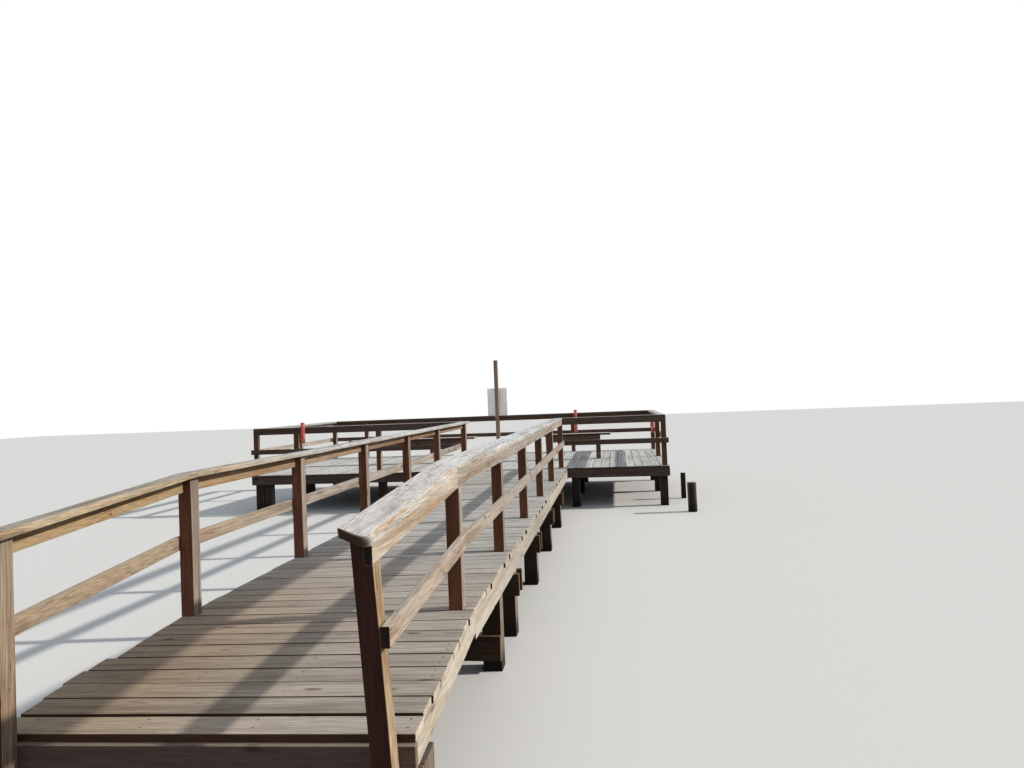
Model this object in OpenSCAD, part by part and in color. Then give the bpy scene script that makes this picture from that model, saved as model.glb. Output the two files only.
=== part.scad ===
// Wooden jetty: a sloping shore bay, a level walkway between railings and a wide platform
// at the end. +Y runs along the walkway away from the shore, +Z is up. The parts are laid out
// from the waterline in the middle of the walkway, below the front edge of the first deck board,
// and then moved so that the whole jetty is centred over the origin.

/* [Walkway] */
// Clear width between the railing posts
clear_w = 1710; // [1400:10:2000]
// Length of the sloping shore bay
ramp_len = 1450; // [1200:10:1800]
// Fall of the shore bay's deck, as a slope
ramp_fall = 0.05; // [0.03:0.001:0.08]
// Sideways turn of the shore bay in plan, as a slope
ramp_turn = 0.03; // [0:0.005:0.05]
// Fall of the deck towards its left side at the shore, which fades out at the platform
cross_fall = 0.028; // [0:0.001:0.03]
// Spacing of the railing posts
bay_w = 1650; // [1500:10:1800]
// Number of full bays on the level walkway
bays = 4; // [3:1:5]
// Length of the last bay, up to the platform's front edge
last_bay = 1980; // [1700:10:2200]
// Height of the deck over the water
deck_z = 720; // [600:10:900]

/* [Platform] */
// How far the platform reaches to the left of the middle line
plat_left = 5107; // [4400:1:5600]
// How far the platform reaches to the right of the middle line
plat_right = 2838; // [2400:1:3400]
// Depth of the platform along the walkway's direction
plat_d = 4060; // [3600:10:4600]

/* [Railings] */
// Height of the cap's top over the platform deck
cap_h = 907; // [850:1:1000]
// Height of the middle rail's top over the deck
mid_h = 495; // [440:5:560]
// How much lower the railings stand at the shore end of the level walkway
run_drop = 28; // [0:1:40]
// Fall of the railings along the shore bay, as a slope
rail_fall = 0.068; // [0.03:0.001:0.08]
// Sideways turn of the left railing along the shore bay, as a slope
left_turn = 0.064; // [0:0.002:0.07]
// Lean of the near right post, as a slope
near_lean = 0.062; // [0:0.001:0.09]
// How much higher the inner edge of the right cap lies at the shore end
cap_roll = 38; // [0:1:38]
// How much higher the inner edge of the left cap lies at the shore end
left_roll = 12; // [0:1:38]
// How much higher the left railing stands than the right one at the near posts
left_near_rise = 24; // [0:1:40]
// How much higher the left railing stands than the right one at the second posts
left_rise = 6; // [0:1:20]
// How far the right cap's near end lies out to the right
cap_swing = 18; // [0:1:25]
// How much higher the near end of the right middle rail is fixed
mid_lift = 43; // [0:1:60]

/* [Timber] */
// Side of the square railing posts
post = 89; // [80:1:100]
// Thickness of the sawn boards
board_t = 38; // [30:1:45]
// Width of the railing boards
rail_w = 89; // [80:1:95]
// Width of the cap boards
cap_w = 140; // [120:5:160]
// Depth of the edge boards and the cross beams
beam_h = 184; // [170:1:200]
// Depth of the shore bay's edge board
ramp_fascia_h = 140; // [120:5:180]
// Side of the square piles
pile = 140; // [120:5:160]

/* [Benches] */
// Height of the seats over the deck
seat_h = 525; // [450:5:560]
// Depth of the seats
seat_d = 285; // [240:5:320]
// Distance of the benches' front from the platform's front edge
bench_y = 1690; // [1500:10:1900]

/* [Sign and holders] */
// Height of the sign post over the deck
sign_h = 2240; // [1900:10:2500]
// Width of the sign panel
panel_w = 475; // [400:5:560]
// Height of the sign panel
panel_h = 660; // [560:5:760]
// Outer diameter of the tube holders
tube_d = 75; // [60:1:90]
// Length of the longest tube holder
tube_l = 530; // [460:10:560]

/* [Hidden] */

// Lines of the walkway, from left to right
post_in = clear_w/2;                    // posts' inner faces
post_out = post_in + post;              // posts' outer faces
fascia_in = post_out + board_t;         // inner face of the right fascia
fascia_out = fascia_in + board_t;       // right edge of the walkway
walk_end = ramp_len + bays*bay_w + last_bay;
plat_back = walk_end + plat_d;

// How far cutting shapes run past a face
spare = 1;

// Levels, from the water up
joist_h = beam_h - board_t;
frame_z = deck_z - beam_h;              // underside of the joists, top of the cross beams
cap_z = deck_z + cap_h - board_t;       // underside of the level caps
top_rail_z = cap_z - rail_w;            // underside of the rails below the caps
mid_rail_z = deck_z + mid_h - rail_w;

// Railing posts along the walkway: one at each bay, the last inside the platform's edge
front_y = walk_end + board_t;           // outer face of the platform's front posts
post_ys = [for (k = [0 : bays]) ramp_len + k*bay_w];
rail_end = front_y + cap_w;             // far end of the walkway's caps
last_post_end = front_y + post;
near_post_y = -board_t - post;
cap_overhang = 61;                      // caps run past the near posts
cap_start = near_post_y - cap_overhang;
roll_end = post_ys[1] + bay_w/2;        // from here on the caps lie flat

// Steps in which the twisted decks are laid
ramp_steps = 10;
walk_steps = 60;

// Frame under the walkway
joist_xs = [-post_in, -post_in/3, post_in/3 - board_t, post_out];
shore_bent_y = 100;
bent_ys = concat([shore_bent_y], [for (k = [1 : bays]) post_ys[k]]);
stiff_bent_back = 760;                  // pair of piles tied low down, before the second post
stiff_bent_y = post_ys[1] - stiff_bent_back;
pile_xs = [-post_in + board_t - pile, fascia_out - pile];
beam_side = 45;                         // cross beams run past the fascia
tie_drop = 450;                         // top of the low tie below the deck

// Platform railing lines
back_y = plat_back - board_t;           // outer face of the back posts
left_x = -plat_left + board_t;
right_x = plat_right - board_t;
side_mid_y = walk_end + plat_d/2 - post/2;
left_bay = 1650;
left_xs = [left_x, -post_in - 2*left_bay - post, -post_in - left_bay - post];

// Frame under the platform
joist_gaps = 7;
joist_pitch = (plat_d - 3*board_t - 2*post)/joist_gaps;
corner_pile_gap = 45;                   // between the two piles at the left corners
junction_in = 225;                      // right junction piles from the posts' inner faces
plat_pile_xs = [
    left_x, left_x + pile + corner_pile_gap, -post_in - left_bay - post, -post_in - post,
    post_in + junction_in, right_x - pile
];
plat_pile_ys = [front_y + board_t, walk_end + plat_d/2 - pile/2, back_y - board_t - pile];

// Benches: [left end of the seat, length]
bench_list = [[-3785, 2760], [250, 1550]];
bench_overhang = 215;
bench_front = walk_end + bench_y;
apron_h = 130;
apron_in = 20;
leg = 89;

// Sign and tube holders
sign_x = -post_in - post;
panel_t = 12;
tube_wall = 4;
tube_r = tube_d/2;
front_tube_off = 85;                    // the front tube stands off the post beside it
tubes = [                               // [x, y, foot over the deck, length]
    [left_xs[1] + post + front_tube_off + tube_r, front_y - tube_r, 600, 0.75*tube_l],
    [post_out + tube_r, back_y - cap_w - tube_r, 450, tube_l],
    [right_x - post/2, back_y - post - tube_r, 380, 0.75*tube_l]
];

// Cut-off piles beside the platform
stub_d = 150;
stub_h = [490, 480];
stub_out = 300;                         // from the platform's right edge
stub_before = 630;                      // the near one before the platform's front edge
stub_after = 950;                       // the far one past it
stub_x = plat_right + stub_out;
stub_ys = [walk_end - stub_before, walk_end + stub_after];

// Middle of the whole jetty in plan
middle = [(stub_x + stub_d/2 - plat_left)/2, (cap_start + plat_back)/2];

// Sideways shift of the shore bay in plan: none past its upper end
function turn_shift(y, turn) = y < ramp_len ? turn*(ramp_len - y) : 0;

// How far the walkway's deck and frame lie below the platform's level
function deck_drop(x, y) =
    ramp_fall*max(0, ramp_len - y)
        + cross_fall*max(0, 1 - y/last_post_end)*(fascia_out - x);

// How far the railings stand below their platform level at a distance along the walkway
function rail_drop(y) =
    y < ramp_len
        ? run_drop + rail_fall*(ramp_len - y)
        : run_drop*(rail_end - y)/(rail_end - ramp_len);

// How much higher the left railing stands than the right one
function left_lift(y) =
    y < ramp_len
        ? left_rise + (left_near_rise - left_rise)*(ramp_len - y)/(ramp_len - near_post_y)
        : left_rise*(rail_end - y)/(rail_end - ramp_len);

// Underside of a side's cap at its outer edge; a side is 1 on the right and -1 on the left
function cap_under(side, y) = cap_z - rail_drop(y) + (side > 0 ? 0 : left_lift(y));

// How much higher the inner edge of a side's cap lies
function roll_at(side, y) =
    (side > 0 ? cap_roll : left_roll)*min(1, max(0, (roll_end - y)/(roll_end - ramp_len)));

// Left edge of a side's cap
function cap_x(side, y) =
    side > 0
        ? post_out - cap_w + turn_shift(y, cap_swing/(ramp_len - cap_start))
        : -post_out + turn_shift(y, left_turn);

// How far the leaning post stands out at a height: straight where the rail below the cap meets it
function lean_at(z) = near_lean*(top_rail_z - rail_drop(near_post_y) - z);

// Straight timber between two end sections of one size: near and far give each section's
// lowest left corner, size its width and height
module timber(near, far, size) {
    corners = [
        for (end = [near, far])
            for (c = [[0, 0], [1, 0], [1, 1], [0, 1]])
                [end.x + c.x*size.x, end.y, end.z + c.y*size.y]
    ];
    polyhedron(
        corners,
        [[3, 2, 1, 0], [4, 5, 6, 7], [1, 5, 4, 0], [2, 6, 5, 1], [3, 7, 6, 2], [0, 4, 7, 3]]
    );
}

// Solid through a row of sections, each with four corners listed from its lower left one round
module through_sections(corners) {
    last = len(corners) - 4;
    sides = [
        for (k = [0 : 4 : last - 4])
            for (j = [0 : 3])
                let (a = k + j, b = k + (j + 1)%4)
                    each [[b, b + 4, a + 4], [b, a + 4, a]]
    ];
    polyhedron(
        corners,
        concat([[3, 2, 1, 0]], sides, [[last, last + 1, last + 2, last + 3]])
    );
}

// Part of the walkway's deck or frame, which follows the deck's falls and turn; a wide one is
// laid in several steps because the falls twist it
module laid(x0, x1, y0, y1, z, h, steps = 1) {
    through_sections([
        for (k = [0 : steps])
            let (y = y0 + (y1 - y0)*k/steps)
                for (c = [[x0, 0], [x1, 0], [x1, h], [x0, h]])
                    [c.x + turn_shift(y, ramp_turn), y, z + c.y - deck_drop(c.x, y)]
    ]);
}

// Middle rail along the walkway, which follows the railing's fall
module mid_rail(x, y0, y1, turn = 0) {
    timber(
        [x + turn_shift(y0, turn), y0, mid_rail_z - rail_drop(y0)],
        [x + turn_shift(y1, turn), y1, mid_rail_z - rail_drop(y1)],
        [board_t, rail_w]
    );
}

// Rail below a side's cap; more widens it outward and upward, for the cuts in the posts
module top_rail(side, y0, y1, more = [0, 0]) {
    turn = side > 0 ? 0 : left_turn;
    x = side > 0 ? post_out - board_t : -post_out - more[0];
    timber(
        [x + turn_shift(y0, turn), y0, cap_under(side, y0) - rail_w],
        [x + turn_shift(y1, turn), y1, cap_under(side, y1) - rail_w],
        [board_t + more[0], rail_w + more[1]]
    );
}

// Length of a side's cap; its inner edge lies higher near the shore
module cap_length(side, y0, y1) {
    through_sections([
        for (y = [y0, y1])
            for (c = [[0, 0], [1, 0], [1, 1], [0, 1]])
                let (inward = side > 0 ? 1 - c.x : c.x)
                    [
                        cap_x(side, y) + c.x*cap_w,
                        y,
                        cap_under(side, y) + inward*roll_at(side, y) + c.y*board_t
                    ]
    ]);
}

// Box between two opposite corners
module block(from, to) {
    translate(from)
        cube(to - from);
}

// Railing post, notched on its outer side for the rail below the cap; its foot follows the
// frame and its top reaches up to the cap
module railing_post(side, y) {
    x = side > 0 ? post_in : -post_out;
    top = cap_under(side, y);
    rise = roll_at(side, y)*post/cap_w;
    notch_x = side > 0 ? x + post - board_t : x - spare;
    difference() {
        block([x, y, frame_z - beam_h/2], [x + post, y + post, top + rise]);
        translate([notch_x, y - spare, top - rail_w])
            cube([board_t + spare, post + 2*spare, rail_w + rise + spare]);
        laid(x - spare, x + post + spare, y - spare, y + post + spare, frame_z - beam_h, beam_h);
    }
}

module ramp_deck() {
    color("#8b8378")
        laid(-post_out, fascia_in, 0, ramp_len, deck_z - board_t, board_t, ramp_steps);
}

// Deck between the shore bay and the platform, with a notch for each post
module walk_deck() {
    color("#9c948a")
        difference() {
            laid(-post_out, fascia_in, ramp_len, walk_end, deck_z - board_t, board_t, walk_steps);
            for (y = post_ys)
                for (x = [-post_out, post_in])
                    block([x, y, frame_z], [x + post, y + post, deck_z + spare]);
        }
}

// Platform deck with notches for its posts, open where the walkway's posts stand
module platform_deck() {
    color("#a39c93")
        translate([0, 0, deck_z - board_t])
            linear_extrude(board_t)
                difference() {
                    translate([left_x, walk_end])
                        square([right_x - left_x, plat_d - board_t]);
                    for (p = deck_post_places())
                        translate(p)
                            square(post);
                    front_rim_lines();
                }
}

// Footprints of the front rims, left and right of the walkway
module front_rim_lines() {
    translate([-plat_left, walk_end])
        square([plat_left - post_in, board_t]);
    translate([fascia_out, walk_end])
        square([plat_right - fascia_out, board_t]);
}

module front_rim() {
    color("#4a3226")
        laid(-post_out, fascia_out, -board_t, 0, frame_z, joist_h);
}

module ramp_fascia() {
    color("#cdb79b")
        laid(fascia_in, fascia_out, 0, ramp_len, deck_z - ramp_fascia_h, ramp_fascia_h);
}

module walk_fascia() {
    color("#cdb79b")
        laid(fascia_in, fascia_out, ramp_len, walk_end, frame_z, beam_h);
}

module ramp_joists() {
    color("#6b5442")
        for (x = joist_xs)
            laid(x, x + board_t, 0, ramp_len, frame_z, joist_h);
}

// Joists that reach the first joist of the platform
module walk_joists() {
    color("#6b5442")
        for (x = joist_xs)
            laid(x, x + board_t, ramp_len, last_post_end, frame_z, joist_h);
}

// A pair of beams across the piles, one on each side of them, just below the joists
module cross_beam_pair(y, x0, x1) {
    for (y0 = [y - board_t, y + pile])
        laid(x0, x1, y0, y0 + board_t, frame_z - beam_h, beam_h);
}

module walk_cross_beams() {
    color("#5d4636") {
        for (y = bent_ys)
            cross_beam_pair(
                y,
                pile_xs[0] - beam_side,
                y > ramp_len ? fascia_out + beam_side : fascia_out
            );
        block(
            [pile_xs[0], stiff_bent_y - board_t, deck_z - tie_drop - beam_h],
            [fascia_out, stiff_bent_y, deck_z - tie_drop]
        );
    }
}

// Square pile under the walkway, cut to the falls of the joists that it carries
module walk_pile(x, y) {
    difference() {
        translate([x + turn_shift(y, ramp_turn), y, 0])
            cube([pile, pile, frame_z]);
        laid(x - pile, x + 2*pile, y - spare, y + pile + spare, frame_z, beam_h);
    }
}

module walk_piles() {
    color("#4b3b2e")
        for (y = concat(bent_ys, [stiff_bent_y]))
            for (x = pile_xs)
                walk_pile(x, y);
}

// Places of the platform's own railing posts
function rail_post_places() = concat(
    [for (x = concat(left_xs, [right_x - post])) [x, front_y]],
    [[left_x, side_mid_y], [right_x - post, side_mid_y]],
    [for (x = concat(left_xs, [post_in, right_x - post])) [x, back_y - post]]
);

// Every place where a post stands in a notch of the platform deck
function deck_post_places() = concat(
    rail_post_places(),
    [[-post_out, front_y], [post_in, front_y], [sign_x, back_y - post]]
);

// Near post of the shore bay: the left one is turned in plan with its railing, the right one
// leans with its foot out
module near_post(side) {
    corners = [
        for (top = [0, 1])
            for (c = [[0, 0], [1, 0], [1, 1], [0, 1]])
                let (
                    y = near_post_y + c.y*post,
                    z = top*(cap_under(side, y) + roll_at(side, y)*post/cap_w),
                    x = side > 0 ? post_in + lean_at(z) : -post_out + turn_shift(y, left_turn)
                )
                    [x + c.x*post, y, z]
    ];
    polyhedron(
        corners,
        [[0, 1, 2, 3], [7, 6, 5, 4], [0, 4, 5, 1], [1, 5, 6, 2], [2, 6, 7, 3], [3, 7, 4, 0]]
    );
}

// Near posts, cut for the rails below the caps and for the caps that lie askew
module near_posts() {
    color("#8a6f55")
        difference() {
            for (side = [1, -1])
                near_post(side);
            for (side = [1, -1]) {
                top_rail(side, near_post_y - spare, ramp_len, [spare, cap_roll]);
                cap_length(side, cap_start, ramp_len);
            }
        }
}

// Row of posts along one side of the walkway; the first ones reach up to a cap that lies askew
module post_row(side) {
    difference() {
        for (y = concat(post_ys, [front_y]))
            railing_post(side, y);
        cap_length(side, ramp_len, roll_end);
    }
}

module right_posts() {
    color("#6f4a33")
        post_row(1);
}

module left_posts() {
    color("#6f4a33")
        post_row(-1);
}

// Caps stand flush with the posts' outer faces and reach inward over them
module ramp_caps() {
    color("#b9ada0")
        for (side = [1, -1])
            cap_length(side, cap_start, ramp_len);
}

module walk_cap(side) {
    color("#b9ada0") {
        cap_length(side, ramp_len, roll_end);
        cap_length(side, roll_end, rail_end);
    }
}

module right_cap() {
    walk_cap(1);
}

module left_cap() {
    walk_cap(-1);
}

module ramp_top_rails() {
    color("#b98f66")
        for (side = [1, -1])
            top_rail(side, near_post_y, ramp_len);
}

module right_top_rail() {
    color("#b98f66")
        top_rail(1, ramp_len, last_post_end);
}

module left_top_rail() {
    color("#b98f66")
        top_rail(-1, ramp_len, last_post_end);
}

// The right one swings out at its near end, to the outer face of the leaning post
module ramp_mid_rails() {
    near_z = mid_rail_z - rail_drop(near_post_y) + mid_lift;
    swing = lean_at(near_z)*(ramp_len - near_post_y)/(ramp_len - near_post_y - post);
    color("#b08a63") {
        mid_rail(-post_out - board_t, near_post_y, ramp_len, left_turn);
        timber(
            [post_out + swing, near_post_y, near_z],
            [post_out, ramp_len, mid_rail_z - run_drop],
            [board_t, rail_w]
        );
    }
}

module right_mid_rail() {
    color("#b08a63")
        mid_rail(post_out, ramp_len, last_post_end);
}

module left_mid_rail() {
    color("#b08a63")
        mid_rail(-post_out - board_t, ramp_len, last_post_end);
}

module platform_front_rims() {
    color("#4f382b")
        translate([0, 0, frame_z])
            linear_extrude(beam_h)
                front_rim_lines();
}

module platform_side_rims() {
    color("#5a4232")
        for (x = [-plat_left, plat_right - board_t])
            block([x, walk_end + board_t, frame_z], [x + board_t, plat_back - board_t, deck_z]);
}

module platform_back_rim() {
    color("#5a4232")
        block([-plat_left, plat_back - board_t, frame_z], [plat_right, plat_back, deck_z]);
}

// Joists across the platform, clear of the posts
module platform_joists() {
    color("#6b5442")
        for (k = [0 : joist_gaps]) {
            y = last_post_end + k*joist_pitch;
            block(
                [left_x, y, frame_z],
                [right_x, y + board_t, deck_z - board_t]
            );
        }
}

// The front row of piles has none: it carries the first joist itself
module platform_cross_beams() {
    color("#4f3a2c")
        for (k = [1, 2])
            cross_beam_pair(plat_pile_ys[k], -plat_left, plat_right + beam_side);
}

module platform_piles() {
    color("#3f3127")
        for (y = plat_pile_ys)
            for (x = plat_pile_xs)
                block([x, y, 0], [x + pile, y + pile, frame_z]);
}

// Square posts, cut out for the rails that run past their outer sides
module platform_posts() {
    color("#5c4030")
        difference() {
            for (p = rail_post_places())
                translate([p.x, p.y, frame_z])
                    cube([post, post, cap_z - frame_z]);
            platform_front_top_rails();
            platform_side_top_rails();
            platform_back_top_rail();
        }
}

module sign_post() {
    color("#7a5a40")
        difference() {
            block([sign_x, back_y - post, frame_z], [sign_x + post, back_y, deck_z + sign_h]);
            platform_back_top_rail();
        }
}

module sign_panel() {
    color("#c9ccce")
        translate([sign_x + post/2 - panel_w/2, back_y, deck_z + cap_h])
            cube([panel_w, panel_t, panel_h]);
}

module platform_front_caps() {
    color("#6a4c3a") {
        block([left_x, front_y, cap_z], [-post_out, front_y + cap_w, cap_z + board_t]);
        block([post_out, front_y, cap_z], [right_x, front_y + cap_w, cap_z + board_t]);
    }
}

module platform_side_caps() {
    color("#b9a893")
        for (x = [left_x, right_x - cap_w])
            block([x, front_y + cap_w, cap_z], [x + cap_w, back_y - cap_w, cap_z + board_t]);
}

// Two lengths, which butt against the sign post
module platform_back_caps() {
    color("#55402f")
        for (ends = [[left_x, sign_x], [sign_x + post, right_x]])
            block([ends[0], back_y - cap_w, cap_z], [ends[1], back_y, cap_z + board_t]);
}

module platform_front_top_rails() {
    color("#5f4535") {
        block([left_x, front_y, top_rail_z], [-post_out, front_y + board_t, cap_z]);
        block([post_out, front_y, top_rail_z], [right_x, front_y + board_t, cap_z]);
    }
}

module platform_side_top_rails() {
    color("#a58866")
        for (x = [left_x, right_x - board_t])
            block([x, front_y + board_t, top_rail_z], [x + board_t, back_y - board_t, cap_z]);
}

module platform_back_top_rail() {
    color("#55402f")
        block([left_x, back_y - board_t, top_rail_z], [right_x, back_y, cap_z]);
}

module platform_front_mid_rails() {
    color("#5f4535") {
        block([-plat_left, walk_end, mid_rail_z], [-post_out - board_t, front_y, mid_rail_z + rail_w]);
        block([fascia_in, walk_end, mid_rail_z], [plat_right, front_y, mid_rail_z + rail_w]);
    }
}

module platform_side_mid_rails() {
    color("#a58866")
        for (x = [-plat_left, plat_right - board_t])
            block([x, front_y, mid_rail_z], [x + board_t, back_y, mid_rail_z + rail_w]);
}

module platform_back_mid_rail() {
    color("#55402f")
        block([-plat_left, back_y, mid_rail_z], [plat_right, plat_back, mid_rail_z + rail_w]);
}

module bench_seats() {
    color("#8f8172")
        for (b = bench_list)
            block(
                [b[0], bench_front, deck_z + seat_h - board_t],
                [b[0] + b[1], bench_front + seat_d, deck_z + seat_h]
            );
}

// Legs at both ends, joined by a front and a back apron
module bench_frame(x, length) {
    x0 = x + bench_overhang;
    x1 = x + length - bench_overhang;
    y0 = bench_front + apron_in;
    y1 = bench_front + seat_d - apron_in;
    under_seat = deck_z + seat_h - board_t;
    for (y = [y0, y1 - board_t])
        block([x0, y, under_seat - apron_h], [x1, y + board_t, under_seat]);
    for (x_leg = [x0, x1 - leg])
        for (y = [y0 + board_t, y1 - board_t - leg])
            block([x_leg, y, deck_z], [x_leg + leg, y + leg, under_seat]);
}

module bench_frames() {
    color("#4f382b")
        for (b = bench_list)
            bench_frame(b[0], b[1]);
}

// Open tube with a closed foot
module tube_holder(length) {
    difference() {
        cylinder(r = tube_r, h = length, $fn = 32);
        translate([0, 0, tube_wall])
            cylinder(r = tube_r - tube_wall, h = length, $fn = 32);
    }
}

module tube_holders() {
    color("#b5402f")
        for (t = tubes)
            translate([t[0], t[1], deck_z + t[2]])
                tube_holder(t[3]);
}

module cut_off_piles() {
    color("#3b3833") {
        translate([stub_x, stub_ys[0], 0])
            cylinder(d = stub_d, h = stub_h[0], $fn = 32);
        translate([stub_x - post/2, stub_ys[1] - post/2, 0])
            cube([post, post, stub_h[1]]);
    }
}

// Moves a part from the walkway's lines to the middle of the jetty
module centred() {
    translate([-middle.x, -middle.y, 0])
        children();
}

centred() ramp_deck();
centred() walk_deck();
centred() platform_deck();
centred() front_rim();
centred() ramp_fascia();
centred() walk_fascia();
centred() ramp_joists();
centred() walk_joists();
centred() walk_cross_beams();
centred() walk_piles();
centred() near_posts();
centred() right_posts();
centred() left_posts();
centred() ramp_caps();
centred() right_cap();
centred() left_cap();
centred() ramp_top_rails();
centred() right_top_rail();
centred() left_top_rail();
centred() ramp_mid_rails();
centred() right_mid_rail();
centred() left_mid_rail();
centred() platform_front_rims();
centred() platform_side_rims();
centred() platform_back_rim();
centred() platform_joists();
centred() platform_cross_beams();
centred() platform_piles();
centred() platform_posts();
centred() sign_post();
centred() sign_panel();
centred() platform_front_caps();
centred() platform_side_caps();
centred() platform_back_caps();
centred() platform_front_top_rails();
centred() platform_side_top_rails();
centred() platform_back_top_rail();
centred() platform_front_mid_rails();
centred() platform_side_mid_rails();
centred() platform_back_mid_rail();
centred() bench_seats();
centred() bench_frames();
centred() tube_holders();
centred() cut_off_piles();
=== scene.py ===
# %% [markdown]
# # A weathered wooden jetty
# The jetty is a long plank walkway between railings that ends in a wide railed platform. The solid
# model already has every timber in its true place. This lesson dresses those timbers: it cuts the
# decks into single boards, rounds and wears the sawn edges, adds the deck screws, and gives each
# kind of wood its own weathering. The first cell loads the solid model, which stays fixed.

import math
import random

import bmesh
import bpy
from mathutils import Euler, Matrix, Quaternion, Vector, noise


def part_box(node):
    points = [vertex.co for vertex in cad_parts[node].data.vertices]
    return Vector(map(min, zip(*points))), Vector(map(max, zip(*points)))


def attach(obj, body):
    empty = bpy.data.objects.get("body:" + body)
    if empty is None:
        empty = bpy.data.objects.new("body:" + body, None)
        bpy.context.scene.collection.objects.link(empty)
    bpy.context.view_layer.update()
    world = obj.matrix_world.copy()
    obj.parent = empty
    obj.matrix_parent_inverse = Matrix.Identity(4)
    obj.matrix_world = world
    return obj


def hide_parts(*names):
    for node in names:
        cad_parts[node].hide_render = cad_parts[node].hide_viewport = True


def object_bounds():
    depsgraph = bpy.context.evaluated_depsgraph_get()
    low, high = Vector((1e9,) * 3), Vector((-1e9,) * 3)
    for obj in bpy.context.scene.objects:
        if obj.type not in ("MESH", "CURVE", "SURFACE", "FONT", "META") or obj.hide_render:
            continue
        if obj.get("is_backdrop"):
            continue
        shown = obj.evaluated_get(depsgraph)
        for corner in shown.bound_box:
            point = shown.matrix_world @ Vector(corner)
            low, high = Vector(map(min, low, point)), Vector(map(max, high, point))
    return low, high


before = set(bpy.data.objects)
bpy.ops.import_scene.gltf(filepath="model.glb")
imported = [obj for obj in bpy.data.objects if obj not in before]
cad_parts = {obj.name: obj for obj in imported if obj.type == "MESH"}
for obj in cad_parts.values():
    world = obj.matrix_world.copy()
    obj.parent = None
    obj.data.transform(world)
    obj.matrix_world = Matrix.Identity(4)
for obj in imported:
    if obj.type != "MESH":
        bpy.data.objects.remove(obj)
cad_low, cad_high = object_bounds()
SEED = 11
rng = random.Random(SEED)
noise.seed_set(SEED)
print("solid model:", len(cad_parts), "nodes, size", [round(d, 3) for d in cad_high - cad_low])

# %% [markdown]
# ## Lines of the walkway
# All places are measured from the middle of the walkway, at the front edge of its first board. The
# solid model's boxes give that point, so nothing has to be fitted by eye. The first bay slopes
# down to its near end and turns a little to the right, and the whole walkway has sunk on its left
# side, less and less towards the platform. Boards and screws are laid out flat first and then
# moved by the same slopes as the solids.

# %% Lines of the walkway
X, Y, Z = 0, 1, 2
POST = 0.089
BOARD_T = 0.038
DECK_Z = 0.720
FRONT_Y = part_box("ramp_deck")[0].y
LEVEL_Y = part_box("walk_deck")[0].y
WALK_END_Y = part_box("walk_deck")[1].y
MIDDLE_X = (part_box("left_posts")[0].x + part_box("right_posts")[1].x) / 2
RIGHT_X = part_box("walk_fascia")[1].x
SUNK_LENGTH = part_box("walk_joists")[1].y - FRONT_Y
RAMP_FALL, RAMP_TURN, CROSS_FALL = 0.05, 0.03, 0.028


def at(x, y, z):
    """A point measured from the walkway's middle line and its front edge"""
    return Vector((MIDDLE_X + x, FRONT_Y + y, z))


def settle(verts):
    """Moves what was laid out flat onto the walkway's falls and the turn of its first bay"""
    for v in verts:
        short = max(0.0, LEVEL_Y - v.co.y)
        sunk = CROSS_FALL * max(0.0, 1.0 - (v.co.y - FRONT_Y) / SUNK_LENGTH)
        v.co.z -= RAMP_FALL * short + sunk * (RIGHT_X - v.co.x)
        v.co.x += RAMP_TURN * short


print("walkway", round(WALK_END_Y - FRONT_Y, 3), "m long, middle line at x =", round(MIDDLE_X, 3))

# %% [markdown]
# ## The camera
# The photograph was taken with a wide lens from almost 3 m in front of the near end, about a metre
# to the right of the railing and 1.3 m above the deck. The camera is turned a little to the left,
# tipped up by just over a degree and rolled by two degrees, so a turn about each of its own axes
# sets it.

# %% The camera
CAMERA_PLACE = at(1.9315, -2.860, DECK_Z + 1.287)
CAMERA_LEFT = math.radians(8.26)
CAMERA_UP = math.radians(1.23)
CAMERA_ROLL = math.radians(-2.28)
SENSOR = 36.0
FOCAL_PX, IMAGE_W = 708.24, 1024

camera_data = bpy.data.cameras.new("camera")
camera_data.sensor_width = SENSOR
camera_data.lens = FOCAL_PX * SENSOR / IMAGE_W
camera_data.clip_start, camera_data.clip_end = 0.05, 300.0
camera = bpy.data.objects.new("camera", camera_data)
camera.location = CAMERA_PLACE
camera.rotation_mode = "QUATERNION"
aim = Euler((math.pi / 2 + CAMERA_UP, 0.0, CAMERA_LEFT)).to_quaternion()
camera.rotation_quaternion = aim @ Quaternion((0.0, 0.0, 1.0), CAMERA_ROLL)
bpy.context.scene.collection.objects.link(camera)
bpy.context.scene.camera = camera
print("lens", round(camera_data.lens, 2), "mm at", [round(c, 2) for c in camera.location])

# %% [markdown]
# ## Nodes and colours
# Every material and the world are small networks of nodes. One function adds a node: it sets the
# node's own properties, fills its input sockets with numbers, colours or links, and hands back an
# output socket for the next node. Colours are written as the sRGB hex codes that a colour picker
# shows, and one function turns them into the linear values that Blender works in.

# %% Nodes and colours
def linear(code):
    """Linear colour of an sRGB hex code"""
    parts = [int(code[i : i + 2], 16) / 255 for i in (1, 3, 5)]
    parts = [c / 12.92 if c <= 0.04045 else ((c + 0.055) / 1.055) ** 2.4 for c in parts]
    return (*parts, 1.0)


def add_node(tree, kind, inputs=None, out=0, **settings):
    """Adds one node; its inputs are numbers, hex colours or sockets, by socket name or number"""
    made = tree.nodes.new(kind)
    for key, value in settings.items():
        setattr(made, key, value)
    for key, value in (inputs or {}).items():
        if isinstance(value, bpy.types.NodeSocket):
            tree.links.new(value, made.inputs[key])
        elif isinstance(value, str):
            made.inputs[key].default_value = linear(value)
        else:
            made.inputs[key].default_value = value
    return made.outputs[out] if len(made.outputs) else made


def new_material(name):
    """An empty node material"""
    material = bpy.data.materials.new(name)
    material.use_nodes = True
    material.node_tree.nodes.clear()
    return material


print("mid grey #808080 is", round(linear("#808080")[0], 3), "in linear light")

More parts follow.
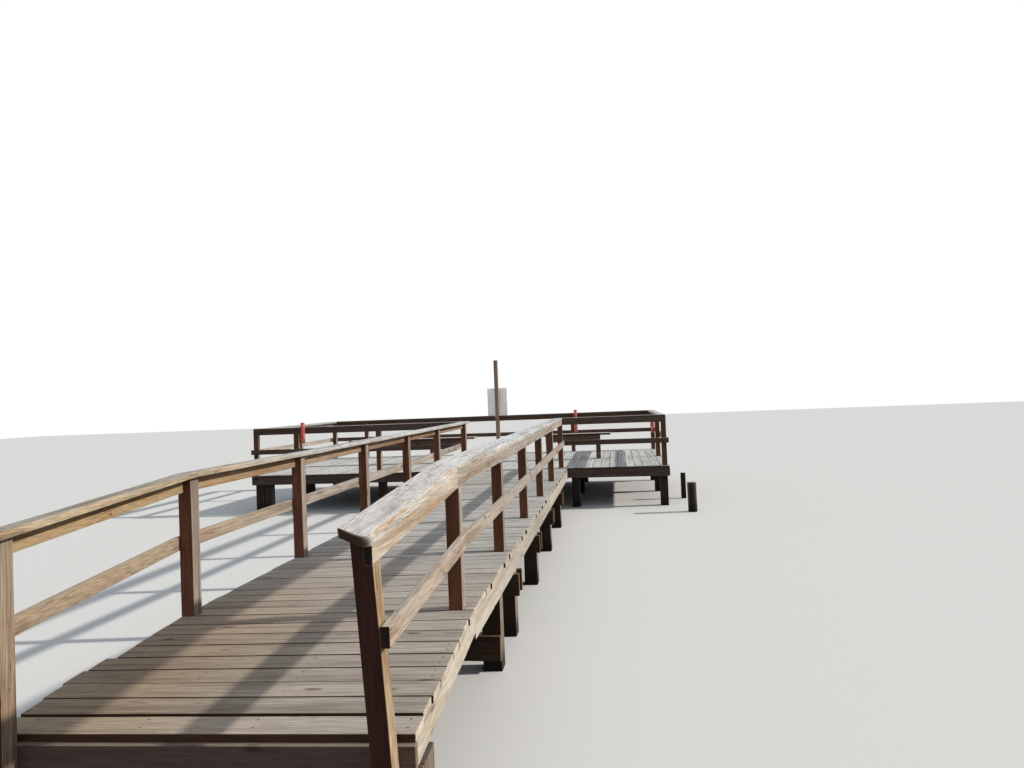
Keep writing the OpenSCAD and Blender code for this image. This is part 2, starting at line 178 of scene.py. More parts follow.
# %% [markdown]
# ## Light
# A low sun stands to the right of the jetty and slightly beyond it, so the right faces and the
# tops are bright and the faces towards the camera are in shade. A sun lamp with a disc a little
# wider than the real one gives the rails clear shadows with soft borders. The world gives an even
# fill, a little bluer than the sun, as in open shade. A flat board that faces up gets just about
# the light at which its colour renders as it is written. Rays that only show the surroundings see
# plain white instead of the fill.

# %% Light
WORLD_FILL = 0.45
SUN_STRENGTH = 3.2
SUN_DISC = math.radians(1.5)
SUN_COLOUR = (1.0, 0.955, 0.89)
TO_SUN = Vector((1.0, 0.13, 0.53)).normalized()


def seen_rays(tree):
    """A socket that is 1 for the rays which show the surroundings and 0 for those that light"""
    path = add_node(tree, "ShaderNodeLightPath").node
    seen = path.outputs["Is Camera Ray"]
    for other in ("Is Glossy Ray", "Is Transmission Ray"):
        rays = {0: seen, 1: path.outputs[other]}
        seen = add_node(tree, "ShaderNodeMath", rays, operation="MAXIMUM")
    return seen


world = bpy.data.worlds.new("soft_daylight")
bpy.context.scene.world = world
world.use_nodes = True
tree = world.node_tree
tree.nodes.clear()
fill = add_node(tree, "ShaderNodeBackground", {"Color": "#e9f3ff", "Strength": WORLD_FILL})
shown = add_node(tree, "ShaderNodeBackground", {"Color": "#ffffff", "Strength": 1.0})
either = add_node(tree, "ShaderNodeMixShader", {0: seen_rays(tree), 1: fill, 2: shown})
add_node(tree, "ShaderNodeOutputWorld", {"Surface": either})

sun_data = bpy.data.lights.new("low_sun", "SUN")
sun_data.energy = SUN_STRENGTH
sun_data.angle = SUN_DISC
sun_data.color = SUN_COLOUR
sun = bpy.data.objects.new("low_sun", sun_data)
sun.rotation_mode = "QUATERNION"
sun.rotation_quaternion = TO_SUN.to_track_quat("Z", "Y")
bpy.context.scene.collection.objects.link(sun)
bpy.context.scene.view_settings.view_transform = "Standard"
sun_height = math.degrees(math.asin(TO_SUN.z))
on_a_deck = WORLD_FILL + SUN_STRENGTH * TO_SUN.z / math.pi
print("sun", round(sun_height, 1), "degrees high, light on a deck", round(on_a_deck, 2))

# %% [markdown]
# ## Patterns of the grain
# The wood's recipe layers a few stretched noises, each set by a real size. Growth rings show as
# bands 60 to 90 mm wide that run the length of a board. Raised grain makes lines 5 mm apart: the
# finest are smaller than a pixel, so they are drawn a bit coarser than life. Drying checks are
# cracks 2 mm wide and up to half a metre long. Knots 20 to 30 mm across come every half metre or
# so. The patterns follow an attribute that gives each timber its own lengthwise direction.

# %% Patterns of the grain
# cycles per metre along and across the timber, detail and distortion
NOISES = {
    "bands": ((0.6, 12.0, 12.0), 3.0, 0.6),
    "fibre": ((5.0, 180.0, 180.0), 4.0, 0.0),
    "checks": ((1.5, 48.0, 48.0), 2.0, 0.25),
    "blotch": ((2.4, 6.0, 6.0), 3.0, 0.0),
    "stains": ((6.0, 24.0, 24.0), 4.0, 0.8),
}
KNOT_CELLS = (1.7, 6.5, 6.5)


def grain_patterns(tree):
    """The noises and the knots of one wood"""
    grain = add_node(tree, "ShaderNodeAttribute", out="Vector", attribute_name="grain")
    patterns = {}
    for key, (scales, detail, distortion) in NOISES.items():
        stretched = add_node(tree, "ShaderNodeMapping", {"Vector": grain, "Scale": scales})
        patterns[key] = add_node(tree, "ShaderNodeTexNoise", {
            "Vector": stretched, "Scale": 1.0, "Detail": detail, "Distortion": distortion,
        })
    cells = add_node(tree, "ShaderNodeMapping", {"Vector": grain, "Scale": KNOT_CELLS})
    patterns["knots"] = add_node(tree, "ShaderNodeTexVoronoi", {"Vector": cells, "Scale": 1.0})
    return patterns


for key, (scales, detail, distortion) in NOISES.items():
    print(f"{key}: {1000 / scales[X]:.0f} mm along the grain, {1000 / scales[Y]:.0f} mm across")

# %% [markdown]
# ## Shares of each effect
# What the eye reads as weathering, and where shade is painted, depend on where a point lies. Rain
# and sun reach the faces that look up; the faces towards the near end and the faces that look down
# never see the sun and get a darker colour that is painted shade; hands rub the caps' edges near
# the near end, and the piles are soaked at the foot. So each effect gets a share, mostly between 0
# and 1, which is a pattern, a direction or a place that is stretched to its range with soft ends.

# %% Shares of each effect
# the deck's far colours are partly a painted sky sheen, its near colours partly painted shade of
# trees
FAR_FROM, FAR_FULL = 0.6, 4.4
HANDLED_FROM, HANDLED_END = 0.5, 3.0
SIDE_BLEND = 0.6


def effect_shares(tree, patterns, warmth, contrast, cracks):
    """How much of each effect shows at a point"""
    tone = add_node(tree, "ShaderNodeAttribute", out="Fac", attribute_name="tone")
    place = add_node(tree, "ShaderNodeTexCoord", out="Object")
    spot = add_node(tree, "ShaderNodeSeparateXYZ", {0: place}).node.outputs
    normal = add_node(tree, "ShaderNodeNewGeometry", out="True Normal")
    facing = add_node(tree, "ShaderNodeSeparateXYZ", {0: normal}).node.outputs
    along = add_node(tree, "ShaderNodeAttribute", out="Vector", attribute_name="along")
    endwise = add_node(
        tree, "ShaderNodeVectorMath", {0: normal, 1: along}, "Value", operation="DOT_PRODUCT"
    )
    endwise = add_node(tree, "ShaderNodeMath", {0: endwise}, operation="ABSOLUTE")
    # source, where it starts and ends, and the share at each end
    ranges = {
        "up": (facing["Z"], 0.35, 0.85, 0.0, 1.0),
        "near_face": (facing["Y"], -0.85, -0.35, 1.0, 0.0),
        "down": (facing["Z"], -0.85, -0.35, 1.0, 0.0),
        "streaks": (patterns["bands"], 0.46, 0.66, 0.0, 0.45 * contrast),
        "warmth": (patterns["blotch"], 0.5, 0.74, 0.0, warmth),
        "lines": (patterns["fibre"], 0.34, 0.66, 1.0 - 0.3 * contrast, 1.0 + 0.1 * contrast),
        "stain": (patterns["stains"], 0.6, 0.78, 1.0, 1.0 - 0.35 * contrast),
        "tones": (tone, 0.0, 1.0, 0.9, 1.07),
        "knot": (patterns["knots"], 0.05, 0.12, 0.7, 0.0),
        "cracked": (patterns["blotch"], 0.46, 0.62, 0.0, cracks),
        "far": (spot["Y"], FRONT_Y + FAR_FROM, FRONT_Y + FAR_FULL, 0.0, 1.0),
        "left": (spot["X"], MIDDLE_X - SIDE_BLEND, MIDDLE_X + SIDE_BLEND, 1.0, 0.0),
        "edge_low": (facing["Z"], 0.25, 0.5, 0.0, 1.0),
        "edge_high": (facing["Z"], 0.85, 0.97, 1.0, 0.0),
        "rubbed": (patterns["blotch"], 0.36, 0.54, 0.0, 0.8),
        "handled": (spot["Y"], FRONT_Y + HANDLED_FROM, FRONT_Y + HANDLED_END, 1.0, 0.2),
        "end": (endwise, 0.75, 0.92, 0.0, 1.0),
        "soaked": (spot["Z"], 0.05, 0.22, 0.9, 0.0),
    }
    share = {}
    for key, (source, low, high, start, end) in ranges.items():
        share[key] = add_node(
            tree, "ShaderNodeMapRange", {0: source, 1: low, 2: high, 3: start, 4: end},
            interpolation_type="SMOOTHSTEP",
        )

    # kind of sum and its terms
    sums = {
        # faces towards the near end or looking down get painted shade by this share
        "painted_shade": ("MAXIMUM", share["near_face"], share["down"]),
        "split": ("COMPARE", patterns["checks"], 0.5, 0.009),
        "edge": ("MULTIPLY", share["edge_low"], share["edge_high"]),
        "shade": ("MULTIPLY", share["lines"], share["stain"]),
        # end grain that faces the near end: darker end grain with painted shade on top
        "end": ("MULTIPLY", share["end"], share["near_face"]),
    }
    for key, (kind, *terms) in sums.items():
        share[key] = add_node(tree, "ShaderNodeMath", dict(enumerate(terms)), operation=kind)
    for key, other in (
        ("split", "cracked"), ("edge", "rubbed"), ("edge", "handled"), ("shade", "tones"),
    ):
        both = {0: share[key], 1: share[other]}
        share[key] = add_node(tree, "ShaderNodeMath", both, operation="MULTIPLY")
    return share


print("far colours begin", FAR_FROM, "m out and are full at", FAR_FULL, "m")

# %% [markdown]
# ## Weathered wood
# All of the jetty is sawn softwood, pressure treated and then left outside. Rain and sun bleach
# the upper faces to silver grey and the sides stay tan. The faces that never see the sun get a
# dark red-brown that is painted shade, on top of the shade the lamps leave there, and sawn ends
# among them get a darker painted shade over their darker end grain. A dry, worn surface like this
# is rough, so it has no highlight to speak of. One recipe with different colours makes every wood
# here: each layer is mixed over those below it by its share.

# %% Weathered wood
WARM, KNOT, CRACK = "#b5835a", "#6b4c38", "#3a2c23"


def weathered_wood(
    name, top, side, shaded, streak, far=None, left=None, warmth=0.2, contrast=0.8, cracks=0.5,
    worn=None, ends=None, wet=None,
):
    """Sawn softwood: top, side and shaded are its colours on faces that look up, on faces that get
    sun and on faces that get none, shaded being painted shade; far and left are other tops and
    sides, far down the walkway and on the left railing; streak is its dark band, worn the colour of
    rubbed edges, ends that of sawn ends in the shade, darker end grain with painted shade, and wet
    that of a pile's soaked foot"""
    material = new_material(name)
    tree = material.node_tree
    patterns = grain_patterns(tree)
    share = effect_shares(tree, patterns, warmth, contrast, cracks)

    looks = []
    for k, colour in enumerate((top, side)):
        for key, other in (("left", left), ("far", far)):
            if other:
                mixed = {0: share[key], 6: colour, 7: other[k]}
                colour = add_node(tree, "ShaderNodeMix", mixed, 2, data_type="RGBA")
        looks.append(colour)

    # how much of each layer, its colour and how it mixes with what is below
    layers = [(share["up"], looks[0], "MIX")]
    if worn:
        layers.append((share["edge"], worn, "MIX"))
    # the shaded colour on faces that never see the sun, and the ends colour on their end grain, are
    # painted shade
    layers += [(share["warmth"], WARM, "OVERLAY"), (share["painted_shade"], shaded, "MIX")]
    if ends:
        layers.append((share["end"], ends, "MIX"))
    layers += [
        (share["streaks"], streak, "MULTIPLY"),
        (share["knot"], KNOT, "MULTIPLY"),
        (1.0, share["shade"], "MULTIPLY"),
        (share["split"], CRACK, "MIX"),
    ]
    if wet:
        layers.append((share["soaked"], wet, "MIX"))
    colour = looks[1]
    for amount, over, mode in layers:
        colour = add_node(
            tree, "ShaderNodeMix", {0: amount, 6: colour, 7: over}, 2, data_type="RGBA",
            blend_type=mode,
        )

    relief = add_node(
        tree, "ShaderNodeMath", {0: share["split"], 1: -0.6, 2: patterns["fibre"]},
        operation="MULTIPLY_ADD",
    )
    bump = add_node(tree, "ShaderNodeBump", {"Height": relief, "Strength": 0.4, "Distance": 0.003})
    shader = add_node(tree, "ShaderNodeBsdfPrincipled", {
        "Base Color": colour, "Normal": bump, "Roughness": 0.85, "IOR": 1.4,
        "Specular IOR Level": 0.25,
    })
    add_node(tree, "ShaderNodeOutputMaterial", {"Surface": shader})
    return material


print("layer colours: warm", WARM, "knots", KNOT, "cracks", CRACK)

# %% [markdown]
# ## The woods of the jetty
# The decks and caps lie flat and are bleached most, and the pale tops of the platform and of the
# far deck are partly a painted sheen of the sky at a low angle. The rails on the left keep a honey
# colour, and the posts get a red-brown painted shade on their near faces. The edge board on the
# right is pale where it is sunlit, the joists are brown because they are sheltered, and the piles
# are dark and soaked black at the foot. The walkway is browner at its near end than further out,
# which on the deck is partly painted shade of trees.

# %% The woods of the jetty
# in every wood the third colour is painted shade for the faces that never see the sun
woods = {
    # the deck's paler far tops are partly a painted sky sheen, its browner near end partly painted
    # shade of trees
    "deck": weathered_wood(
        "weathered_deck_boards", "#c3b7a9", "#dbcbb5", "#4f3628", "#aeaba6",
        far=("#d3cfc9", "#bfb2a2"), left=("#b49e87", "#dbcbb5"), warmth=0.1, contrast=1.0,
        cracks=0.4,
    ),
    # the platform's pale top is partly a painted sky sheen at a low angle
    "platform": weathered_wood(
        "bleached_platform_boards_with_painted_sheen", "#e0dfdb", "#c4b8a9", "#5c483c", "#aeaba6", warmth=0.1,
        contrast=1.0, cracks=0.4,
    ),
    "cap": weathered_wood(
        "bleached_cap_boards", "#d3cfcb", "#ccc4b8", "#6b594f", "#aba298",
        far=("#d8dbda", "#bcb8b1"), left=("#b5aea0", "#b7a589"), warmth=0.12, contrast=1.1,
        cracks=0.8, worn="#c4a786", ends="#4a3a31",
    ),
    "rail": weathered_wood(
        "tan_rail_boards", "#cfc3b4", "#c5b3a0", "#6b574c", "#9f8a75",
        far=("#c3bab0", "#b3a89c"), left=("#c6b59c", "#b09a82"), warmth=0.25, contrast=1.1,
        cracks=0.7, ends="#2b1f1a",
    ),
    "honey": weathered_wood(
        "honey_rail_boards", "#cbb494", "#cabba7", "#6c4530", "#a98253",
        far=("#bda78c", "#a58c74"), left=("#cbb494", "#bba07a"), warmth=0.35, contrast=1.0,
        cracks=0.7, ends="#2b1f1a",
    ),
    "near_post": weathered_wood(
        "leaning_near_posts", "#b5a58f", "#c4aa88", "#4a2c24", "#8f7058",
        left=("#b5a58f", "#a08d78"), contrast=1.2, cracks=0.8,
    ),
    "left_post": weathered_wood(
        "left_posts", "#b5a58f", "#aa9c90", "#8c5c46", "#a18b77", warmth=0.25, contrast=1.2,
    ),
    "post": weathered_wood(
        "square_posts", "#b5a58f", "#b2a698", "#774e3a", "#a18b77", warmth=0.25, contrast=1.0,
    ),
    "tall_post": weathered_wood("tall_post", "#b5a58f", "#bdb0a1", "#af927c", "#a9927e"),
    "fascia": weathered_wood(
        "pale_edge_board", "#e2d9ca", "#ddd2c1", "#705540", "#b8a68c",
        far=("#cfc8be", "#bcb4a8"), warmth=0.15, cracks=0.4,
    ),
    "rim": weathered_wood("dark_edge_boards", "#94867a", "#8a705a", "#66554c", "#8f7c6c"),
    "frame": weathered_wood("brown_joists", "#7a6856", "#8a7058", "#4a392d", "#8f7a66"),
    "pile": weathered_wood("old_piles", "#7d7368", "#8f8172", "#40342b", "#6d5f52", wet="#1d1a17"),
}
print("woods:", ", ".join(woods))

# %% [markdown]
# ## Timbers from the solids
# Most timbers keep the shape of their solid, so the shortest way to a real looking piece is a
# copy of it. The copy's loose triangles are merged and the flat ones melted into whole faces. A
# node often holds several timbers, which are told apart by following their edges.

# %% Timbers from the solids
def corners(verts):
    """Lowest and highest corner of some vertices"""
    places = [v.co for v in verts]
    return (
        Vector(tuple(min(p[i] for p in places) for i in range(3))),
        Vector(tuple(max(p[i] for p in places) for i in range(3))),
    )


def loose_timbers(bm):
    """The separate timbers in a mesh as lists of vertices, in order of their places"""
    bm.verts.ensure_lookup_table()
    bm.verts.index_update()
    seen, found = [False] * len(bm.verts), []
    for first in bm.verts:
        if seen[first.index]:
            continue
        seen[first.index], group, queue = True, [], [first]
        while queue:
            v = queue.pop()
            group.append(v)
            for e in v.link_edges:
                other = e.other_vert(v)
                if not seen[other.index]:
                    seen[other.index] = True
                    queue.append(other)
        found.append(group)
    return sorted(found, key=lambda g: tuple(round(c, 3) for c in corners(g)[0]))


def copy_solid(name):
    """The node's solids as a merged mesh with whole flat faces"""
    bm = bmesh.new()
    bm.from_mesh(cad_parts[name].data)
    bmesh.ops.remove_doubles(bm, verts=bm.verts, dist=1e-5)
    bmesh.ops.dissolve_limit(
        bm, angle_limit=math.radians(1), verts=bm.verts, edges=bm.edges, delimit={"NORMAL"}
    )
    return bm


bm = copy_solid("right_posts")
print("right posts:", len(loose_timbers(bm)), "timbers with", len(bm.faces), "faces in all")
bm.free()

# %% [markdown]
# ## Sawing, rounding and warping
# A flat cut through a mesh gives it new vertices, and a cut that clears one side shortens it. Long
# timbers are sawn into lengths in this way, which butt against each other at a joint. Sawn edges
# are rounded by a few millimetres, and a soft noise moves the sections of a timber by a millimetre
# or two, because no old board is quite straight.

# %% Sawing, rounding and warping
EDGE_ROUND = 0.004
SHARP_ANGLE = 0.5
WARP = 0.0012
WARP_CYCLES = 2.1
CUT_STEP = 0.35
SAW_GAP = 0.003
FAR_AWAY = 1e3


def slice_across(bm, axis, place, clear_outer=False, clear_inner=False):
    """One flat cut through everything at a place along an axis"""
    direction = Vector([1.0 if i == axis else 0.0 for i in range(3)])
    bmesh.ops.bisect_plane(
        bm, geom=bm.verts[:] + bm.edges[:] + bm.faces[:], plane_co=direction * place,
        plane_no=direction, clear_outer=clear_outer, clear_inner=clear_inner,
    )


def cut_evenly(bm, axis, step):
    """Flat cuts at even steps along an axis"""
    low, high = corners(bm.verts)
    count = int((high[axis] - low[axis]) / step)
    for k in range(1, count):
        slice_across(bm, axis, low[axis] + k * (high[axis] - low[axis]) / count)


def saw(bm, axis, places):
    """Cuts the timbers into lengths that butt against each other"""
    bounds = [-FAR_AWAY]
    for place in places:
        bounds += [place - SAW_GAP / 2, place + SAW_GAP / 2]
    bounds.append(FAR_AWAY)
    whole = bpy.data.meshes.new("whole")
    bm.to_mesh(whole)
    sawn = bmesh.new()
    for start, end in zip(bounds[::2], bounds[1::2]):
        length = bmesh.new()
        length.from_mesh(whole)
        slice_across(length, axis, end, clear_outer=True)
        slice_across(length, axis, start, clear_inner=True)
        bmesh.ops.holes_fill(length, edges=[e for e in length.edges if e.is_boundary])
        part = bpy.data.meshes.new("length")
        length.to_mesh(part)
        length.free()
        sawn.from_mesh(part)
        bpy.data.meshes.remove(part)
    bpy.data.meshes.remove(whole)
    bm.free()
    return sawn


def round_edges(bm, radius=EDGE_ROUND):
    """Rounds every sharp edge"""
    sharp = [
        e for e in bm.edges if len(e.link_faces) == 2 and e.calc_face_angle() > SHARP_ANGLE
    ]
    bmesh.ops.bevel(
        bm, geom=sharp, offset=radius, offset_type="OFFSET", affect="EDGES", segments=2,
        profile=0.5, material=-1, clamp_overlap=True,
    )


def warp(bm, axis, amount=WARP, step=CUT_STEP):
    """Cuts the timbers across every so often and moves the sections a little off line"""
    cut_evenly(bm, axis, step)
    for v in bm.verts:
        v.co += noise.noise_vector(v.co * WARP_CYCLES) * amount


print("edges rounded by", EDGE_ROUND, "m, cuts every", CUT_STEP, "m, warp up to", WARP, "m")

# %% [markdown]
# ## Grain and finished pieces
# Each loose timber gets its own grain direction, its own stretch of the grain pattern and its own
# tone, so no two boards look alike. Then the mesh becomes an object that moves with the jetty and
# stands in for its solids.

# %% Grain and finished pieces
def mark_grain(bm, axis):
    """Each timber's own direction, stretch of pattern and tone, kept as attributes"""
    grain = bm.verts.layers.float_vector.new("grain")
    tone = bm.verts.layers.float.new("tone")
    direction = bm.verts.layers.float_vector.new("along")
    others = [i for i in range(3) if i != axis]
    for timber in loose_timbers(bm):
        shift = Vector((rng.uniform(0, 30), rng.uniform(0, 5), rng.uniform(0, 5)))
        shade = rng.random()
        for v in timber:
            v[grain] = Vector((v.co[axis], v.co[others[0]], v.co[others[1]])) + shift
            v[tone] = shade
            v[direction] = Vector([1.0 if i == axis else 0.0 for i in range(3)])


def make_piece(name, bm, material, nodes=()):
    """Ends the mesh work: one object on the jetty's body in place of its solids"""
    bmesh.ops.recalc_face_normals(bm, faces=bm.faces)
    mesh = bpy.data.meshes.new(name)
    bm.to_mesh(mesh)
    bm.free()
    mesh.materials.append(material)
    piece = bpy.data.objects.new(name, mesh)
    bpy.context.scene.collection.objects.link(piece)
    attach(piece, "root")
    if nodes:
        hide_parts(*nodes)
    print(f"{name}: {len(mesh.polygons)} faces")


def dress(
    node, material, axis, joints=(), radius=EDGE_ROUND, amount=WARP, step=CUT_STEP, bm=None
):
    """A node's timbers with joints, rounded edges, warp and grain along an axis"""
    bm = bm or copy_solid(node)
    if joints:
        bm = saw(bm, axis, joints)
    round_edges(bm, radius)
    warp(bm, axis, amount, step)
    mark_grain(bm, axis)
    make_piece("dressed_" + node, bm, material, [node])


# %% [markdown]
# ## Boards and notches
# A deck is a row of boards with gaps that let the rain through. Each board is a cube scaled to its
# size, with ragged ends, because they were cut by hand. Boards that meet a post are notched round
# it: the posts' places are cut out of the deck with a Boolean modifier, which is then applied.

# %% Boards and notches
BOARD_PLAY = 0.002
BOARD_DROP = 0.0025
NOTCH_PLAY = 0.004


def add_board(bm, low, high):
    """A box between two corners"""
    made = bmesh.ops.create_cube(bm, size=1.0)["verts"]
    bmesh.ops.scale(bm, vec=high - low, verts=made)
    bmesh.ops.translate(bm, vec=(low + high) / 2, verts=made)


def lay_boards(low, high, across, count, width, ragged):
    """Boards side by side over an area: across is the axis on which they follow each other, and
    ragged says how much shorter they may be at their two ends"""
    bm = bmesh.new()
    along = X if across == Y else Y
    pitch = (high[across] - low[across]) / count
    for k in range(count):
        a, b = low.copy(), high.copy()
        middle = low[across] + (k + 0.5) * pitch
        a[across] = middle - width / 2 + rng.uniform(-BOARD_PLAY, BOARD_PLAY)
        b[across] = middle + width / 2 + rng.uniform(-BOARD_PLAY, BOARD_PLAY)
        a[along] += rng.uniform(0.0, ragged[0])
        b[along] -= rng.uniform(0.0, ragged[1])
        drop = rng.uniform(0.0, BOARD_DROP)
        a.z, b.z = a.z - drop, b.z - drop
        add_board(bm, a, b)
    return bm, pitch


def post_boxes(node, grow=NOTCH_PLAY):
    """The boxes of a node's posts, grown a little for the play of their notches"""
    more = Vector((grow, grow, 0.0))
    bm = copy_solid(node)
    found = [corners(timber) for timber in loose_timbers(bm)]
    bm.free()
    return [(low - more, high + more) for low, high in found]


def carve(bm, cutters):
    """Takes the boxes out of the mesh with an applied Boolean modifier"""
    tool = bmesh.new()
    for low, high in cutters:
        add_board(tool, low, high)
    objects = []
    for name, source in (("carved", bm), ("cutter", tool)):
        mesh = bpy.data.meshes.new(name)
        source.to_mesh(mesh)
        source.free()
        made = bpy.data.objects.new(name, mesh)
        bpy.context.scene.collection.objects.link(made)
        objects.append(made)
    cut = objects[0].modifiers.new("cut", "BOOLEAN")
    cut.operation, cut.solver, cut.object = "DIFFERENCE", "EXACT", objects[1]
    bpy.context.view_layer.update()
    result = bmesh.new()
    result.from_object(objects[0], bpy.context.evaluated_depsgraph_get())
    for made in objects:
        mesh = made.data
        bpy.data.objects.remove(made)
        bpy.data.meshes.remove(mesh)
    return result


walk_posts = post_boxes("right_posts") + post_boxes("left_posts")
platform_posts = post_boxes("platform_posts") + post_boxes("sign_post")
print("notches:", len(walk_posts), "in the walkway,", len(platform_posts), "in the platform")

# %% [markdown]
# ## The walkway's decks
# The boards are 144 mm wide. On the right they lie over the edge board. Those of the first bay are
# a little wider, and they are the least even: the left ends of the first five stick out by 40 to
# 75 mm, and the very first board lies a bit forward.

# %% The walkway's decks
BOARD_W, RAMP_BOARD_W = 0.144, 0.152
WALK_BOARDS, RAMP_BOARDS = 56, 9
WALK_RAGGED, RAMP_RAGGED = (0.012, 0.020), (0.016, 0.014)
RAMP_ENDS = (-0.04, -0.045, -0.055, -0.075, -0.07)
OVERHANG = 0.012


def finish_boards(name, bm, axis, posts, wood, node, sloping):
    """Notched boards with rounded edges, warp and grain in place of a deck's slab"""
    bm = carve(bm, posts)
    round_edges(bm)
    warp(bm, axis)
    mark_grain(bm, axis)
    if sloping:
        settle(bm.verts)
    make_piece(name, bm, woods[wood], [node])


low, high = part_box("walk_deck")
high.x = RIGHT_X
low.z, high.z = DECK_Z - BOARD_T, DECK_Z
walk_bm, walk_pitch = lay_boards(low, high, Y, WALK_BOARDS, BOARD_W, WALK_RAGGED)
finish_boards("walkway_boards", walk_bm, X, walk_posts, "deck", "walk_deck", True)

low.y, high.y = FRONT_Y, LEVEL_Y
ramp_bm, ramp_pitch = lay_boards(low, high, Y, RAMP_BOARDS, RAMP_BOARD_W, RAMP_RAGGED)
for v in ramp_bm.verts:
    k = int((v.co.y - FRONT_Y) / ramp_pitch)
    if v.co.x < MIDDLE_X and k < len(RAMP_ENDS):
        v.co.x += RAMP_ENDS[k]
    if k == 0:
        v.co.y -= OVERHANG
finish_boards("shore_boards", ramp_bm, X, walk_posts, "deck", "ramp_deck", True)
print("board pitch: walkway", round(walk_pitch, 4), "ramp", round(ramp_pitch, 4))

# %% [markdown]
# ## The platform's deck
# On the platform the boards run the same way as the walkway and cover the rims. Their front ends
# overhang the front rim, and those that meet the walkway stop just short of its last board.

# %% The platform's deck
PLATFORM_BOARDS = 52
PLATFORM_RAGGED = (0.006, 0.008)
MEETING_GAP = 0.004
END_ZONE = 0.05

low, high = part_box("platform_deck")
for node in ("platform_front_rims", "platform_side_rims", "platform_back_rim"):
    rim_low, rim_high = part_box(node)
    low = Vector((min(low.x, rim_low.x), min(low.y, rim_low.y), low.z))
    high = Vector((max(high.x, rim_high.x), max(high.y, rim_high.y), high.z))
plat_bm, plat_pitch = lay_boards(low, high, X, PLATFORM_BOARDS, BOARD_W, PLATFORM_RAGGED)
plat_start = low.x
for board in loose_timbers(plat_bm):
    board_low, board_high = corners(board)
    meets_walkway = board_high.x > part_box("walk_deck")[0].x and board_low.x < RIGHT_X
    for v in board:
        if v.co.y < low.y + END_ZONE:
            v.co.y += MEETING_GAP if meets_walkway else -OVERHANG
posts = platform_posts + walk_posts
finish_boards("platform_boards", plat_bm, Y, posts, "platform", "platform_deck", False)
print("board pitch on the platform:", round(plat_pitch, 4))

# %% [markdown]
# ## Worn caps
# The caps are the nearest timbers to the eye. Rain and hands have worn their right upper edges
# round and uneven, so that edge gets a large bevel whose sections are pushed back towards the
# sharp corner by a rough noise. The two near ends are also round in plan: they are sliced close to
# the end and their sides drawn in.

# %% Worn caps
EDGE_CYCLES = (3.0, 11.0)
NEAR_CUTS = (0.002, 0.006, 0.012, 0.02, 0.031, 0.044)
NEAR_ZONE = 0.045
NEAR_RADII = ((0.010, 0.012), (0.014, 0.045))
CAP_WEAR, CAP_WEAR_STEP = 0.024, 0.08
NEAR_WEAR, NEAR_WEAR_STEP = 0.032, 0.04
TOUCH = 1e-4


def on_line(start, end, place):
    """The point of a line that lies as far along Y as a place"""
    return start.lerp(end, (place.y - start.y) / (end.y - start.y))


def wear_edge(bm, radius, step):
    """Rounds the right upper edge of each board unevenly, as wear and wane leave it"""
    lines = []
    for e in bm.edges:
        normals = [f.normal for f in e.link_faces]
        if any(n.z > 0.8 for n in normals) and any(n.x > 0.8 for n in normals):
            lines.append([v.co.copy() for v in sorted(e.verts, key=lambda v: v.co.y)])
    cut_evenly(bm, Y, step)
    for start, end in lines:
        worn = [
            e for e in bm.edges
            if all(
                start.y - TOUCH < v.co.y < end.y + TOUCH
                and (v.co - on_line(start, end, v.co)).length < TOUCH
                for v in e.verts
            )
        ]
        bmesh.ops.bevel(
            bm, geom=worn, offset=radius, offset_type="OFFSET", affect="EDGES", segments=4,
            profile=0.5, material=-1, clamp_overlap=False,
        )
        for v in bm.verts:
            corner = on_line(start, end, v.co)
            if start.y <= v.co.y <= end.y and (v.co - corner).length < radius * 1.05:
                rough = noise.noise(Vector((v.co.y * EDGE_CYCLES[0], corner.x, 0.0)))
                rough += 0.6 * noise.noise(Vector((v.co.y * EDGE_CYCLES[1], corner.x, 5.0)))
                v.co += (corner - v.co) * min(0.8, max(0.0, 0.25 - 1.1 * rough))


def round_near_ends(bm, radii):
    """Rounds each timber's near end in plan, by a radius for the left and one for the right"""
    near = corners(bm.verts)[0].y
    for depth in NEAR_CUTS:
        slice_across(bm, Y, near + depth)
    timbers = sorted(loose_timbers(bm), key=lambda timber: corners(timber)[0].x)
    for timber, (left, right) in zip(timbers, radii):
        end = [v for v in timber if v.co.y < near + NEAR_ZONE]
        low, high = corners(end)
        for v in end:
            on_left = v.co.x < (low.x + high.x) / 2
            radius = left if on_left else right
            short = max(0.0, radius - (v.co.y - near))
            inset = radius - math.sqrt(radius ** 2 - short ** 2)
            v.co.x += inset if on_left else -inset


print("wear rounds the caps by", CAP_WEAR, "m and the near ones by", NEAR_WEAR, "m")

# %% [markdown]
# ## The walkway's railings
# A railing is a flat cap over the posts, a rail on edge below it and a second rail at knee height.
# The long ones come in lengths that meet over a post, so they are sawn there.

# %% The walkway's railings
CAP_ROUND = POST_ROUND = 0.005
RAIL_WARP = 0.002

post_lines = sorted({round(low.y, 3) for low, high in post_boxes("right_posts", 0.0)})
joints = [post_lines[2] + POST / 2, post_lines[4] + POST / 2]
print("post lines from the front edge:", [round(y - FRONT_Y, 3) for y in post_lines])


def finish_cap(node, bm):
    """A worn cap, cut evenly before, with rounded edges, warp and grain"""
    round_edges(bm, CAP_ROUND)
    warp(bm, Y, RAIL_WARP, FAR_AWAY)
    mark_grain(bm, Y)
    make_piece("dressed_" + node, bm, woods["cap"], [node])


